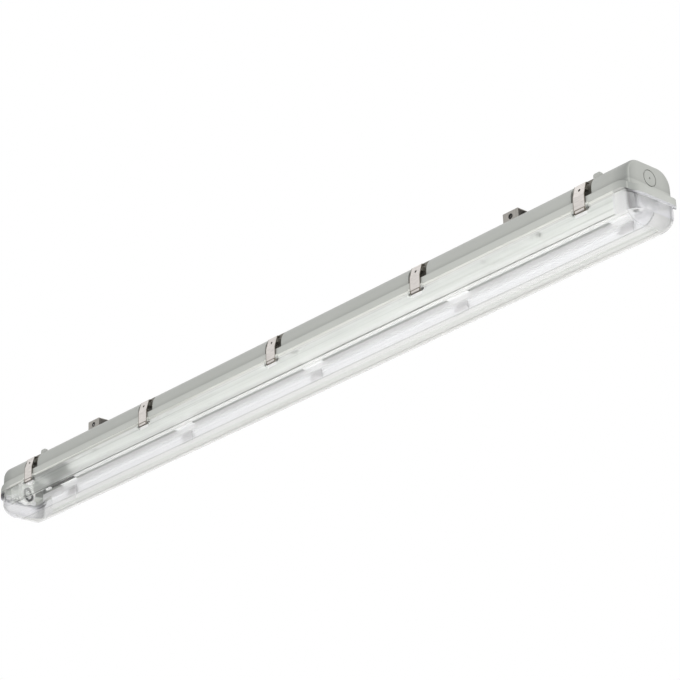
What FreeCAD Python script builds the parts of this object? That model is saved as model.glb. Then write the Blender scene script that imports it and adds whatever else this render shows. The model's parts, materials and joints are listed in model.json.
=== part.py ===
import FreeCAD, Part
import math
import os

import Sketcher

# Vapor-tight ceiling light for one straight two-pin lamp.
# X runs along the light, -Y is the front, +Z is up.
# The origin is the middle of the ceiling plane that the brackets' top plates lie on.

V = FreeCAD.Vector

SIZES = {
    # whole light
    "overall_length": 1565.0,
    "rim_width": 98.0,
    "rim_corner_radius": 18.0,
    "bracket_height": 17.0,
    # housing
    "housing_height": 46.6,
    "housing_wall": 3.0,
    "side_overhang": 3.5,
    "end_overhang": 12.7,
    "rim_band": 10.8,
    "end_dip": 14.0,
    "dip_run": 40.0,
    "dip_beyond": 6.0,
    "side_draft": 0.4,
    "end_face_radius": 5.5,
    "shoulder_radius": 26.3,
    "boss_radius": 6.0,
    "knockout_radius": 13.3,
    "knockout_groove": 1.5,
    "knockout_drop": 23.4,
    "knockout_dimple": 1.5,
    # gasket and its channel
    "channel_inset": 1.6,
    "channel_width": 3.4,
    "channel_depth": 8.0,
    "channel_lip": 1.5,
    "gasket_height": 2.7,
    # clip pockets, catches and lugs on the housing
    "clip_end_margin": 102.5,
    "pocket_width": 40.0,
    "pocket_depth": 10.0,
    "pocket_floor": 12.0,
    "catch_width": 14.0,
    "catch_reach": 8.0,
    "catch_height": 7.0,
    "catch_gap": 0.7,
    "lug_width": 14.0,
    "lug_thickness": 5.0,
    "lug_height": 9.0,
    "lug_start": 18.0,
    "lug_round": 3.0,
    "lug_reach": 37.0,
    # cover
    "cover_depth": 51.2,
    "cover_wall": 2.0,
    "cover_inset": 0.4,
    "cover_corner_radius": 27.5,
    "cover_bottom_radius": 26.3,
    "cover_draft": 0.3,
    "flange_thickness": 2.4,
    "parting_gap": 0.3,
    "tongue_height": 5.0,
    "tongue_gap": 0.6,
    "rib_pitch": 3.2,
    "rib_height": 1.0,
    "rib_top": 4.6,
    "rib_depth": 33.0,
    "rib_end_margin": 42.0,
    # clips and their pins
    "pin_radius": 1.5,
    "pin_length": 30.0,
    "pin_drop": 8.2,
    "pin_fit": 0.05,
    "pin_press": 0.01,
    "clip_width": 23.0,
    "clip_thickness": 1.0,
    "clip_height": 35.0,
    "clip_knee": 15.0,
    "clip_lean": 5.8,
    "clip_hook": 6.0,
    "clip_hole_radius": 2.2,
    "clip_flange": 3.0,
    "ear_gap": 0.4,
    "ear_width": 3.6,
    "ear_height": 2.9,
    # ceiling brackets and the rails that they slide on
    "bracket_end_margin": 262.5,
    "bracket_width": 31.0,
    "bracket_sheet": 1.2,
    "bracket_hole_radius": 2.6,
    "leg_hole_radius": 2.0,
    "leg_hole_drop": 8.5,
    "rail_length": 200.0,
    "rail_half_width": 22.0,
    "rail_flat": 26.0,
    "rail_joggle": 2.0,
    "rail_sheet": 1.2,
    "rail_side_gap": 0.3,
    "rail_hook": 2.6,
    "rail_screw_inset": 10.0,
    "rail_screw_radius": 2.0,
    "rail_screw_head": 3.6,
    "rail_screw_head_height": 1.4,
    "rail_screw_length": 7.0,
    "rail_boss_radius": 4.5,
    # gear tray
    "tray_rise": 13.0,
    "tray_sheet": 0.8,
    "tray_flat": 32.0,
    "tray_width": 62.0,
    "tray_wing_drop": 5.0,
    "tray_lip": 2.0,
    "tray_end_gap": 6.0,
    "wing_end_gap": 28.0,
    "window_start": 61.0,
    "window_length": 78.0,
    "window_front": 27.0,
    "window_back": 13.0,
    # quarter-turn latches
    "latch_end_margin": 232.5,
    "latch_stem_radius": 2.5,
    "latch_stem_length": 12.0,
    "latch_wing_length": 20.0,
    "latch_wing_width": 6.0,
    "latch_wing_height": 3.0,
    "latch_fit": 0.05,
    "latch_gap": 0.3,
    "latch_slot_margin": 0.8,
    # lampholders
    "lamp_end_gap": 32.5,
    "lamp_drop": 8.5,
    "holder_width": 27.0,
    "holder_thickness": 11.0,
    "holder_foot_width": 22.0,
    "holder_foot_height": 3.0,
    "holder_foot_inset": 2.4,
    "rotor_radius": 10.5,
    "rotor_thickness": 3.0,
    "rotor_hub_radius": 4.0,
    "rotor_hub_length": 5.0,
    "rotor_gap": 0.3,
    "rotor_fit": 0.05,
    "rotor_slot": 3.0,
    "rotor_groove_radius": 7.0,
    "pin_pitch": 12.7,
    "contact_width": 3.4,
    "contact_height": 8.0,
    "contact_thickness": 0.6,
    "contact_gap": 0.6,
    # ballast
    "ballast_length": 340.0,
    "ballast_width": 36.0,
    "ballast_height": 21.0,
    "ballast_edge_radius": 2.0,
    "ballast_foot": 9.0,
    "ballast_foot_height": 2.0,
    "screw_radius": 2.0,
    "screw_head_radius": 4.0,
    "screw_head_height": 2.4,
    "screw_length": 6.0,
    # terminal block
    "block_start": 76.0,
    "block_length": 36.0,
    "block_width": 21.0,
    "block_height": 19.0,
    "block_side": 2.5,
    "button_width": 5.0,
    "button_length": 7.0,
    "button_height": 4.5,
    "button_stand": 2.0,
    "button_travel": 1.5,
    "button_gap": 0.3,
    "wire_hole_radius": 1.6,
    # leads
    "lead_radius": 1.2,
    "lead_pitch": 4.0,
    "lead_side": 9.0,
    "lead_bend": 8.0,
    "lead_height": 26.0,
    "supply_height": 31.5,
    "earth_reach": 44.0,
    # cable grommet
    "grommet_hole_radius": 5.0,
    "grommet_neck_radius": 11.5,
    "grommet_flange_radius": 14.5,
    "grommet_flange": 2.0,
    "grommet_lip_radius": 12.4,
    "grommet_lip_gap": 1.0,
    "grommet_gap": 0.3,
    # cutting overrun
    "overrun": 5.0,
}

doc = FreeCAD.newDocument("vapor_tight_light")
sheet = doc.addObject("Spreadsheet::Sheet", "sizes")
for row, (size_name, size_value) in enumerate(SIZES.items(), start=1):
    sheet.set("A%d" % row, size_name)
    sheet.set("B%d" % row, str(size_value))
    sheet.setAlias("B%d" % row, size_name)
doc.recompute()


class Length:
    """A length in mm that also knows the sheet expression that gives it."""

    def __init__(self, value, text):
        self.value = value
        self.text = text

    def __add__(self, other):
        return Length(self.value + other.value, "(%s + %s)" % (self.text, other.text))

    def __sub__(self, other):
        return Length(self.value - other.value, "(%s - %s)" % (self.text, other.text))

    def __mul__(self, factor):
        if isinstance(factor, Length):
            return Length(self.value * factor.value, "(%s * %s)" % (self.text, factor.text))
        return Length(self.value * factor, "(%s * %s)" % (self.text, factor))

    def __truediv__(self, other):
        if isinstance(other, Length):
            return Length(self.value / other.value, "(%s / %s)" % (self.text, other.text))
        return Length(self.value / other, "(%s / %s)" % (self.text, other))

    def __neg__(self):
        return Length(-self.value, "(0 - %s)" % self.text)


def size(name):
    """The driving size of this name."""
    return Length(sheet.get(sheet.getCellFromAlias(name)), "sizes.%s" % name)


zero = Length(0.0, "0")


def bind(thing, prop, length):
    """Tie one property of a document object to the sheet."""
    thing.setExpression(prop, length.text)


def place(thing, x=zero, y=zero, z=zero):
    """Tie an object's position to the sheet and keep its rotation."""
    bind(thing, "Placement.Base.x", x)
    bind(thing, "Placement.Base.y", y)
    bind(thing, "Placement.Base.z", z)


# Sketches and solids


def arc_middle(start, end, radius, turn):
    """Middle point of the short arc from start to end; turn is 1 for left, -1 for right."""
    chord = end - start
    half = chord.Length / 2
    rise = radius - math.sqrt(radius * radius - half * half)
    left = V(-chord.y, chord.x, 0).normalize()
    return (start + end) / 2 - left * (turn * rise)


def draw(sketch, corners):
    """Closed outline through corners (x, y), with an arc where (radius, turn) follows."""
    points = [V(corner[0].value, corner[1].value, 0) for corner in corners]
    ends = []
    for index, corner in enumerate(corners):
        start = points[index]
        end = points[(index + 1) % len(points)]
        if len(corner) == 4:
            middle = arc_middle(start, end, corner[2].value, corner[3])
            edge = sketch.addGeometry(Part.Arc(start, middle, end))
            gaps = [(sketch.getPoint(edge, point) - start).Length for point in (1, 2)]
            first = 1 if gaps[0] < gaps[1] else 2
        else:
            edge = sketch.addGeometry(Part.LineSegment(start, end))
            first = 1
        ends.append((edge, first, 3 - first))
    for index, (edge, first, last) in enumerate(ends):
        following = ends[(index + 1) % len(ends)]
        sketch.addConstraint(Sketcher.Constraint("Coincident", edge, last, following[0], following[1]))
    for index, (edge, first, last) in enumerate(ends):
        corner = corners[index]
        for kind, length in (("DistanceX", corner[0]), ("DistanceY", corner[1])):
            number = sketch.addConstraint(Sketcher.Constraint(kind, edge, first, length.value))
            sketch.setExpression("Constraints[%d]" % number, length.text)
        if len(corner) == 4:
            number = sketch.addConstraint(Sketcher.Constraint("Radius", edge, corner[2].value))
            sketch.setExpression("Constraints[%d]" % number, corner[2].text)


def draw_circle(sketch, x, y, radius):
    """A circle whose centre and radius follow the sheet."""
    edge = sketch.addGeometry(Part.Circle(V(x.value, y.value, 0), V(0, 0, 1), radius.value))
    for kind, length in (("DistanceX", x), ("DistanceY", y)):
        number = sketch.addConstraint(Sketcher.Constraint(kind, edge, 3, length.value))
        sketch.setExpression("Constraints[%d]" % number, length.text)
    number = sketch.addConstraint(Sketcher.Constraint("Radius", edge, radius.value))
    sketch.setExpression("Constraints[%d]" % number, radius.text)


def rectangle(x_low, x_high, y_low, y_high):
    """Corners of a plain rectangle."""
    return [(x_low, y_low), (x_high, y_low), (x_high, y_high), (x_low, y_high)]


def rounded_rectangle(half_length, half_width, radius):
    """Corners of a rectangle about the origin with four rounded corners."""
    x_in = half_length - radius
    y_in = half_width - radius
    return [
        (-x_in, -half_width),
        (x_in, -half_width, radius, 1),
        (half_length, -y_in),
        (half_length, y_in, radius, 1),
        (x_in, half_width),
        (-x_in, half_width, radius, 1),
        (-half_length, y_in),
        (-half_length, -y_in, radius, 1),
    ]


PLANE_TURNS = {
    "XY_Plane": FreeCAD.Rotation(),
    "XZ_Plane": FreeCAD.Rotation(V(1, 0, 0), 90),
    "YZ_Plane": FreeCAD.Rotation(V(1, 1, 1), 120),
}
PLANE_NORMALS = {"XY_Plane": (0, 0, 1), "XZ_Plane": (0, -1, 0), "YZ_Plane": (1, 0, 0)}


def extrusion(label, plane, corners, low, high):
    """A sketch outline carried along its plane's normal from low to high."""
    sketch = doc.addObject("Sketcher::SketchObject", label + "_sketch")
    draw(sketch, corners)
    sketch.Placement = FreeCAD.Placement(V(0, 0, 0), PLANE_TURNS[plane])
    normal = PLANE_NORMALS[plane]
    for axis, part in zip("xyz", normal):
        if part:
            bind(sketch, "Placement.Base." + axis, low * part)
    solid = doc.addObject("Part::Extrusion", label)
    solid.Base = sketch
    solid.DirMode = "Custom"
    solid.Dir = V(*normal)
    solid.Solid = True
    bind(solid, "LengthFwd", high - low)
    return solid


def block(label, x_low, x_high, y_low, y_high, z_low, z_high):
    """A box between two corners."""
    solid = doc.addObject("Part::Box", label)
    bind(solid, "Length", x_high - x_low)
    bind(solid, "Width", y_high - y_low)
    bind(solid, "Height", z_high - z_low)
    place(solid, x_low, y_low, z_low)
    return solid


AXIS_TURNS = {
    "x": FreeCAD.Rotation(V(0, 1, 0), 90),
    "y": FreeCAD.Rotation(V(1, 0, 0), -90),
    "z": FreeCAD.Rotation(),
}


def rod(label, axis, x, y, z, radius, length):
    """A cylinder that starts at a point and runs along one axis."""
    solid = doc.addObject("Part::Cylinder", label)
    bind(solid, "Radius", radius)
    bind(solid, "Height", length)
    solid.Placement = FreeCAD.Placement(V(0, 0, 0), AXIS_TURNS[axis])
    place(solid, x, y, z)
    return solid


def fuse(label, solids):
    """All the solids joined."""
    joined = doc.addObject("Part::MultiFuse", label)
    joined.Shapes = solids
    joined.Refine = True
    return joined


def cut(label, base, tools):
    """The base with the tools taken away."""
    tool = tools[0] if len(tools) == 1 else fuse(label + "_tools", tools)
    left = doc.addObject("Part::Cut", label)
    left.Base = base
    left.Tool = tool
    return left


def common(label, solids):
    """What all the solids share."""
    shared = doc.addObject("Part::MultiCommon", label)
    shared.Shapes = solids
    return shared


def group(label, solids):
    """Separate solids kept in one sub-part."""
    kept = doc.addObject("Part::Compound", label)
    kept.Links = solids
    return kept


def body(label):
    """An empty body for a sub-part made of features."""
    made = doc.addObject("PartDesign::Body", label)
    made.Label = label
    return made


def body_sketch(owner, name, plane, offset=zero):
    """A sketch on one of the body's own planes, moved along the normal by offset."""
    sketch = owner.newObject("Sketcher::SketchObject", name)
    support = [feature for feature in owner.Origin.OriginFeatures if feature.Role == plane][0]
    sketch.AttachmentSupport = (support, [""])
    sketch.MapMode = "FlatFace"
    bind(sketch, "AttachmentOffset.Base.z", offset)
    return sketch


def pad(owner, name, sketch, length, symmetric=False, backwards=False):
    """A pad of a sketch."""
    feature = owner.newObject("PartDesign::Pad", name)
    feature.Profile = sketch
    bind(feature, "Length", length)
    if symmetric:
        feature.SideType = "Symmetric"
    feature.Reversed = backwards
    return feature


def pocket(owner, name, sketch, length, symmetric=False, backwards=False):
    """A pocket of a sketch."""
    feature = owner.newObject("PartDesign::Pocket", name)
    feature.Profile = sketch
    bind(feature, "Length", length)
    if symmetric:
        feature.SideType = "Symmetric"
    feature.Reversed = backwards
    return feature


def edges_where(shape, test):
    """Names of the edges that pass a test."""
    return ["Edge%d" % (index + 1) for index, edge in enumerate(shape.Edges) if test(edge)]


def round_edges(owner, name, base, test, radius):
    """A fillet on the edges of the base feature that pass a test."""
    doc.recompute()
    feature = owner.newObject("PartDesign::Fillet", name)
    feature.Base = (base, edges_where(base.Shape, test))
    bind(feature, "Radius", radius)
    return feature


# Places that several pieces share

half_length = size("overall_length") / 2
half_rim = size("rim_width") / 2
housing_top = -size("bracket_height")
parting = housing_top - size("housing_height")
body_half_length = half_length - size("end_overhang")
body_half_width = half_rim - size("side_overhang")
lowest_parting = parting - size("end_dip")
cavity_half_length = body_half_length - size("housing_wall")
housing_slope = size("side_draft") / (size("housing_height") - size("shoulder_radius"))
cover_slope = size("cover_draft") / (size("cover_depth") - size("cover_bottom_radius"))
cover_half_width = half_rim - size("cover_inset") - size("cover_draft")
cover_half_length = half_length - size("cover_inset") - size("cover_draft")
cavity_top = housing_top - size("housing_wall")
pin_height = parting - size("pin_drop")
pin_reach = half_rim
tray_bottom = parting + size("tray_rise")
tray_top = tray_bottom + size("tray_sheet")
lamp_height = parting - size("lamp_drop")
holder_face = half_length - size("lamp_end_gap")
knockout_height = housing_top - size("knockout_drop")
pocket_back = body_half_width - size("pocket_depth")
pocket_bottom = parting + size("pocket_floor")
clip_places = [(half_length - size("clip_end_margin")) * step for step in (-1, -0.5, 0, 0.5, 1)]
bracket_place = half_length - size("bracket_end_margin")
latch_places = [(half_length - size("latch_end_margin")) * step for step in (-1, 0, 1)]
ballast_start = (latch_places[2] - size("ballast_length")) / 2
overrun = size("overrun")


def parting_line(rise):
    """Corners along the parting line, left to right, lifted by rise: level, with S bends at both ends."""
    outer = half_length + overrun * 2
    dip_end = half_length + size("dip_beyond")
    dip_start = dip_end - size("dip_run")
    dip_middle = dip_end - size("dip_run") / 2
    run = size("dip_run") / 2
    drop = size("end_dip") / 2
    bend = (run * run + drop * drop) / (drop * 2)
    low = lowest_parting + rise
    middle = parting - drop + rise
    high = parting + rise
    return [
        (-outer, low),
        (-dip_end, low, bend, 1),
        (-dip_middle, middle, bend, -1),
        (-dip_start, high),
        (dip_start, high, bend, -1),
        (dip_middle, middle, bend, 1),
        (dip_end, low),
        (outer, low),
    ]


def backwards_line(corners):
    """The same corners from right to left, each arc kept on its own stretch and turned over."""
    turned = []
    for index in range(len(corners) - 1, -1, -1):
        point = corners[index][:2]
        before = corners[index - 1] if index else corners[-1]
        turned.append(point + ((before[2], -before[3]) if index and len(before) == 4 else ()))
    return turned


def parting_band(label, low, high):
    """A slab across the light between two heights above the parting line."""
    lower = parting_line(low)
    upper = backwards_line(parting_line(high))
    return extrusion(label, "XZ_Plane", lower + upper, -size("rim_width"), size("rim_width"))


def slab(label, half_x, half_y, radius, low, high):
    """An upright prism with a rounded rectangle as its plan."""
    return extrusion(label, "XY_Plane", rounded_rectangle(half_x, half_y, radius), low, high)


def ring(label, half_x, half_y, radius, width, low, high):
    """An upright ring with a rounded rectangle as its plan."""
    outer = slab(label + "_outer", half_x, half_y, radius, low, high)
    inner_x, inner_y, inner_radius = half_x - width, half_y - width, radius - width
    inner = slab(label + "_inner", inner_x, inner_y, inner_radius, low - overrun, high + overrun)
    return cut(label, outer, [inner])


def arched_section(half, radius, slope, foot, crown):
    """Outline of an arch: sides that lean in by slope from the foot, and rounds of radius at the crown.

    half is the half width where the rounds begin.
    """
    up = 1 if crown.value > foot.value else -1
    spring = crown - radius * up
    lean = Length(math.sqrt(1 + slope.value ** 2), "sqrt(1 + %s * %s)" % (slope.text, slope.text))
    touch_reach = half - radius + radius / lean
    touch_height = spring + radius * slope / lean * up
    foot_reach = touch_reach + (touch_height - foot) * slope * up
    return [
        (-foot_reach, foot),
        (foot_reach, foot),
        (touch_reach, touch_height, radius, up),
        (half - radius, crown),
        (radius - half, crown, radius, up),
        (-touch_reach, touch_height),
    ]


def arched_body(label, half_x, half_y, radius, end_radius, slope, foot, crown):
    """A long body with one arched section, the edges of its end faces rounded except at the foot."""
    made = body(label)
    section = body_sketch(made, label + "_section", "YZ_Plane")
    draw(section, arched_section(half_y, radius, slope, foot, crown))
    arch = pad(made, label + "_arch", section, half_x * 2, symmetric=True)
    at_foot = level_edge(foot)

    def of_end_face(edge):
        box = edge.BoundBox
        near = edge.Length / 1000
        return box.XLength < near and abs(abs(box.XMin) - half_x.value) < near and not at_foot(edge)

    round_edges(made, label + "_ends", arch, of_end_face, end_radius)
    return made


def drafted_body(label, half_x, half_y, radius, slope, start, height):
    """A body that narrows by slope as it leaves the plane at start downwards, with a rounded plan."""
    made = body(label)
    plan = body_sketch(made, label + "_plan", "XY_Plane", start)
    draw(plan, rounded_rectangle(half_x, half_y, radius))
    block_pad = pad(made, label + "_pad", plan, height, backwards=True)
    block_pad.setExpression("TaperAngle", "atan(%s)" % (-slope).text)
    return made, block_pad


def level_edge(height):
    """A test for edges that lie level at one height."""
    return lambda edge: (abs(edge.BoundBox.ZMin - height.value) < edge.Length / 1000
                         and abs(edge.BoundBox.ZMax - height.value) < edge.Length / 1000)


# Housing


def make_housing():
    """Grey moulded shell, open below, with a dipped rim, clip pockets and knock-outs."""
    wall = size("housing_wall")
    shell = arched_body("housing_body", body_half_length, body_half_width, size("shoulder_radius"),
                        size("end_face_radius"), housing_slope, lowest_parting, housing_top)
    rim_plan = slab("rim_plan", half_length, half_rim, size("rim_corner_radius"), lowest_parting, housing_top)
    rim_band = parting_band("rim_band_slab", zero, size("rim_band"))
    rim = common("rim", [rim_plan, rim_band])
    above = parting_band("above_parting", zero, size("housing_height") + size("end_dip") + overrun)
    solid = fuse("housing_outer", [shell, rim])

    hollow = arched_body("housing_hollow", cavity_half_length, body_half_width - wall,
                         size("shoulder_radius") - wall, size("end_face_radius") - wall,
                         housing_slope, lowest_parting - overrun, cavity_top)
    lip = size("channel_inset") + size("channel_width") + size("channel_lip")
    ledge = common("ledge_hollow", [
        slab("ledge_plan", half_length - lip, half_rim - lip, size("rim_corner_radius") - lip,
             lowest_parting - overrun, parting + size("rim_band")),
        parting_band("ledge_band", -overrun, size("rim_band") - wall),
    ])

    keepers = []
    cutters = []
    catches = []
    for side in (-1, 1):
        for number, place_x in enumerate(clip_places):
            name = "%s_%d" % ("front" if side < 0 else "back", number + 1)
            low_x = place_x - size("pocket_width") / 2
            high_x = place_x + size("pocket_width") / 2
            inner = pocket_back - wall
            outer = half_rim + overrun
            span = (pocket_back, outer) if side > 0 else (-outer, -pocket_back)
            guard = (inner, outer) if side > 0 else (-outer, -inner)
            cutters.append(block("pocket_" + name, low_x, high_x, span[0], span[1],
                                 pocket_bottom, housing_top + overrun))
            keepers.append(block("pocket_wall_" + name, low_x - wall, high_x + wall, guard[0], guard[1],
                                 pocket_bottom - wall, housing_top))
            catch_top = parting + size("clip_height") - size("clip_thickness") - size("catch_gap")
            catch_span = (pocket_back - wall / 2, pocket_back + size("catch_reach"))
            if side < 0:
                catch_span = (-catch_span[1], -catch_span[0])
            catches.append(block("catch_" + name, place_x - size("catch_width") / 2,
                                 place_x + size("catch_width") / 2, catch_span[0], catch_span[1],
                                 catch_top - size("catch_height"), catch_top))

    cavity = cut("cavity", hollow, keepers)
    channel = common("channel", [
        ring("channel_ring", half_length - size("channel_inset"), half_rim - size("channel_inset"),
             size("rim_corner_radius") - size("channel_inset"), size("channel_width"),
             lowest_parting - overrun, parting + size("channel_depth") + overrun),
        parting_band("channel_band", -overrun, size("channel_depth")),
    ])
    depth = size("knockout_groove")
    start = body_half_length - depth
    reach = depth + overrun
    knockout = rod("knockout_outer", "x", start, zero, knockout_height, size("knockout_radius"), reach)
    island = rod("knockout_inner", "x", start - overrun, zero, knockout_height,
                 size("knockout_radius") - depth, depth + overrun * 3)
    dimple = rod("knockout_dimple", "x", start, zero, knockout_height, size("knockout_dimple"), reach)
    grooves = [channel, cut("knockout_ring", knockout, [island]), dimple]
    grooves.append(rod("entry_hole", "x", -body_half_length - overrun, zero, knockout_height,
                       size("grommet_neck_radius") + size("grommet_gap"), overrun * 2 + wall))

    lugs = []
    for side in (-1, 1):
        for number in (0, 4):
            near = clip_places[number] + size("lug_start")
            if side > 0:
                near = clip_places[number] - size("lug_start") - size("lug_width")
            far = near + size("lug_width")
            back = size("lug_reach") - size("lug_thickness")
            span = (back, size("lug_reach")) if side < 0 else (-size("lug_reach"), -back)
            low = housing_top - size("lug_height")
            turn = size("lug_round")
            lugs.append(extrusion("lug_%d_%d" % (side + 1, number), "XZ_Plane", [
                (near, low), (far, low), (far, housing_top - turn, turn, 1), (far - turn, housing_top),
                (near + turn, housing_top, turn, 1), (near, housing_top - turn),
            ], span[0], span[1]))

    bosses = []
    bores = []
    for number, place_x in enumerate(latch_places):
        bosses.append(rod("latch_boss_%d" % number, "z", place_x, zero, tray_top, size("boss_radius"),
                          cavity_top - tray_top + wall / 2))
        bores.append(rod("latch_bore_%d" % number, "z", place_x, zero, tray_top - overrun,
                         size("latch_stem_radius") + size("latch_fit"),
                         overrun + size("latch_stem_length")))
    for number, (place_x, place_y) in enumerate(rail_screw_places()):
        floor = housing_top - size("rail_screw_length") - wall / 2
        bosses.append(rod("rail_boss_%d" % number, "z", place_x, place_y, floor, size("rail_boss_radius"),
                          housing_top - floor - wall / 2))
        bores.append(rod("rail_bore_%d" % number, "z", place_x, place_y,
                         housing_top - size("rail_screw_length"),
                         size("rail_screw_radius"), size("rail_screw_length") + overrun))

    carved = cut("housing_carved", solid, cutters)
    opened = cut("housing_opened", carved, [cavity, ledge])
    grown = fuse("housing_grown", [opened] + catches + lugs + bosses)
    trimmed = common("housing_trimmed", [grown, above])
    return cut("housing", trimmed, grooves + bores)


def rail_screw_places():
    """Centres of the four screws that hold the slide rails."""
    reach = size("rail_length") / 2 - size("rail_screw_inset")
    middle = bracket_place
    return [(middle * side + reach * end, zero) for side in (-1, 1) for end in (-1, 1)]


# Gasket


def make_gasket():
    """Foamed ring at the bottom of the housing's channel, following the dipped rim."""
    inset = size("channel_inset")
    plan = ring("gasket_ring", half_length - inset, half_rim - inset, size("rim_corner_radius") - inset,
                size("channel_width"), lowest_parting, parting + size("channel_depth") + overrun)
    low = size("channel_depth") - size("gasket_height")
    return common("gasket", [plan, parting_band("gasket_band", low, size("channel_depth"))])


# Cover


def cover_shape(label, inset):
    """Outer or inner form of the trough, drawn in by inset, with rounded corners and bottom edges."""
    bottom = parting - size("cover_depth") + inset
    spread = cover_slope * (overrun + size("cover_depth") - size("cover_bottom_radius")) - inset
    made, made_pad = drafted_body(label, cover_half_length + spread, cover_half_width + spread,
                                  size("cover_corner_radius") - inset, cover_slope, parting + overrun,
                                  parting + overrun - bottom)
    round_edges(made, label + "_round", made_pad, level_edge(bottom), size("cover_bottom_radius") - inset)
    return made


def inner_wall(height):
    """Half width of the trough's inner face at a height, on the leaning side or on the round below it."""
    radius = size("cover_bottom_radius") - size("cover_wall")
    spring = parting - size("cover_depth") + size("cover_bottom_radius")
    half = cover_half_width - size("cover_wall")
    if height.value > spring.value:
        return half + cover_slope * (height - spring)
    drop = spring - height
    reach = Length(math.sqrt(radius.value ** 2 - drop.value ** 2),
                   "sqrt(%s * %s - %s * %s)" % (radius.text, radius.text, drop.text, drop.text))
    return half - radius + reach


def rib_section(side):
    """Saw-tooth outline of the ribs on one side wall's inner face, with a back that follows the wall."""
    count = int(size("rib_depth").value / size("rib_pitch").value)
    teeth = []
    backs = []
    for tooth in range(count + 1):
        height = parting - size("rib_top") - size("rib_pitch") * tooth
        wall = inner_wall(height)
        teeth.append((wall * side, height))
        backs.append(((wall + size("cover_wall") / 2) * side, height))
        if tooth < count:
            tip = height - size("rib_pitch") / 2
            teeth.append(((inner_wall(tip) - size("rib_height")) * side, tip))
    return teeth + backs[::-1]


def make_cover():
    """Clear trough with a flange, a sealing tongue, ribs inside and ears for the clip pins."""
    outer = cover_shape("cover_outer", zero)
    inner = cover_shape("cover_inner", size("cover_wall"))
    trough = cut("trough", outer, [inner])

    gap = size("parting_gap")
    below = parting_band("below_parting", -size("cover_depth") - overrun, -gap)
    trimmed = common("trough_trimmed", [trough, below])

    plate = common("flange_plate", [
        slab("flange_plan", half_length, half_rim, size("rim_corner_radius"), lowest_parting - overrun,
             parting + overrun),
        parting_band("flange_band", -gap - size("flange_thickness"), -gap),
    ])
    mouth_inset = size("channel_inset") + size("channel_width") - size("tongue_gap")
    mouth = slab("flange_mouth", half_length - mouth_inset, half_rim - mouth_inset,
                 size("rim_corner_radius") - mouth_inset, lowest_parting - overrun * 2, parting + overrun)
    flange = cut("flange", plate, [common("flange_hollow", [mouth, inner])])
    tongue_inset = size("channel_inset") + size("tongue_gap")
    tongue = common("tongue", [
        ring("tongue_ring", half_length - tongue_inset, half_rim - tongue_inset,
             size("rim_corner_radius") - tongue_inset, size("channel_width") - size("tongue_gap") * 2,
             lowest_parting - overrun, parting + size("tongue_height") + overrun),
        parting_band("tongue_band", -gap - size("flange_thickness"), size("tongue_height")),
    ])

    pieces = [trimmed, flange, tongue]
    rib_reach = half_length - size("rib_end_margin")
    for side in (-1, 1):
        pieces.append(extrusion("ribs_%s" % ("front" if side < 0 else "back"), "YZ_Plane",
                                rib_section(side), -rib_reach, rib_reach))

    notches = []
    pin_holes = []
    eye_radius = size("pin_radius") + size("pin_fit") + size("clip_thickness")
    for side in (-1, 1):
        for number, place_x in enumerate(clip_places):
            name = "%s_%d" % ("front" if side < 0 else "back", number + 1)
            half_clip = size("clip_width") / 2
            reach = pin_reach + size("ear_height")
            root = half_rim - size("cover_inset") - size("cover_wall") / 2
            for end in (-1, 1):
                low_x = place_x + half_clip + size("ear_gap")
                high_x = low_x + size("ear_width")
                if end < 0:
                    high_x = place_x - half_clip - size("ear_gap")
                    low_x = high_x - size("ear_width")
                span = (root, reach) if side > 0 else (-reach, -root)
                pieces.append(block("ear_%s_%d" % (name, end + 1), low_x, high_x, span[0], span[1],
                                    pin_height - size("ear_height"), parting - gap))
            notch = pin_reach - eye_radius - size("ear_gap")
            back = notch - size("cover_wall")
            span = (back, root) if side > 0 else (-root, -back)
            pieces.append(block("backing_" + name, place_x - half_clip - size("ear_width"),
                                place_x + half_clip + size("ear_width"), span[0], span[1],
                                pin_height - size("ear_height") - overrun - size("cover_wall"),
                                parting - gap))
            span = (notch, reach + overrun) if side > 0 else (-reach - overrun, -notch)
            notches.append(block("notch_" + name, place_x - half_clip - size("ear_gap"),
                                 place_x + half_clip + size("ear_gap"), span[0], span[1],
                                 pin_height - size("ear_height") - overrun, parting))
            pin_holes.append(rod("pin_hole_" + name, "x", place_x - size("pin_length") / 2 - overrun,
                                 pin_reach * side, pin_height, size("pin_radius") + size("pin_press"),
                                 size("pin_length") + overrun * 2))
    grown = fuse("cover_grown", pieces)
    return cut("cover", grown, notches + pin_holes)


def make_clip_pins():
    """Ten steel pins pressed into the cover's ears."""
    pins = []
    for side in (-1, 1):
        for number, place_x in enumerate(clip_places):
            pins.append(rod("pin_%d_%d" % (side + 1, number), "x", place_x - size("pin_length") / 2,
                            pin_reach * side, pin_height, size("pin_radius"), size("pin_length")))
    return group("clip_pins", pins)


# Clips


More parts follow.
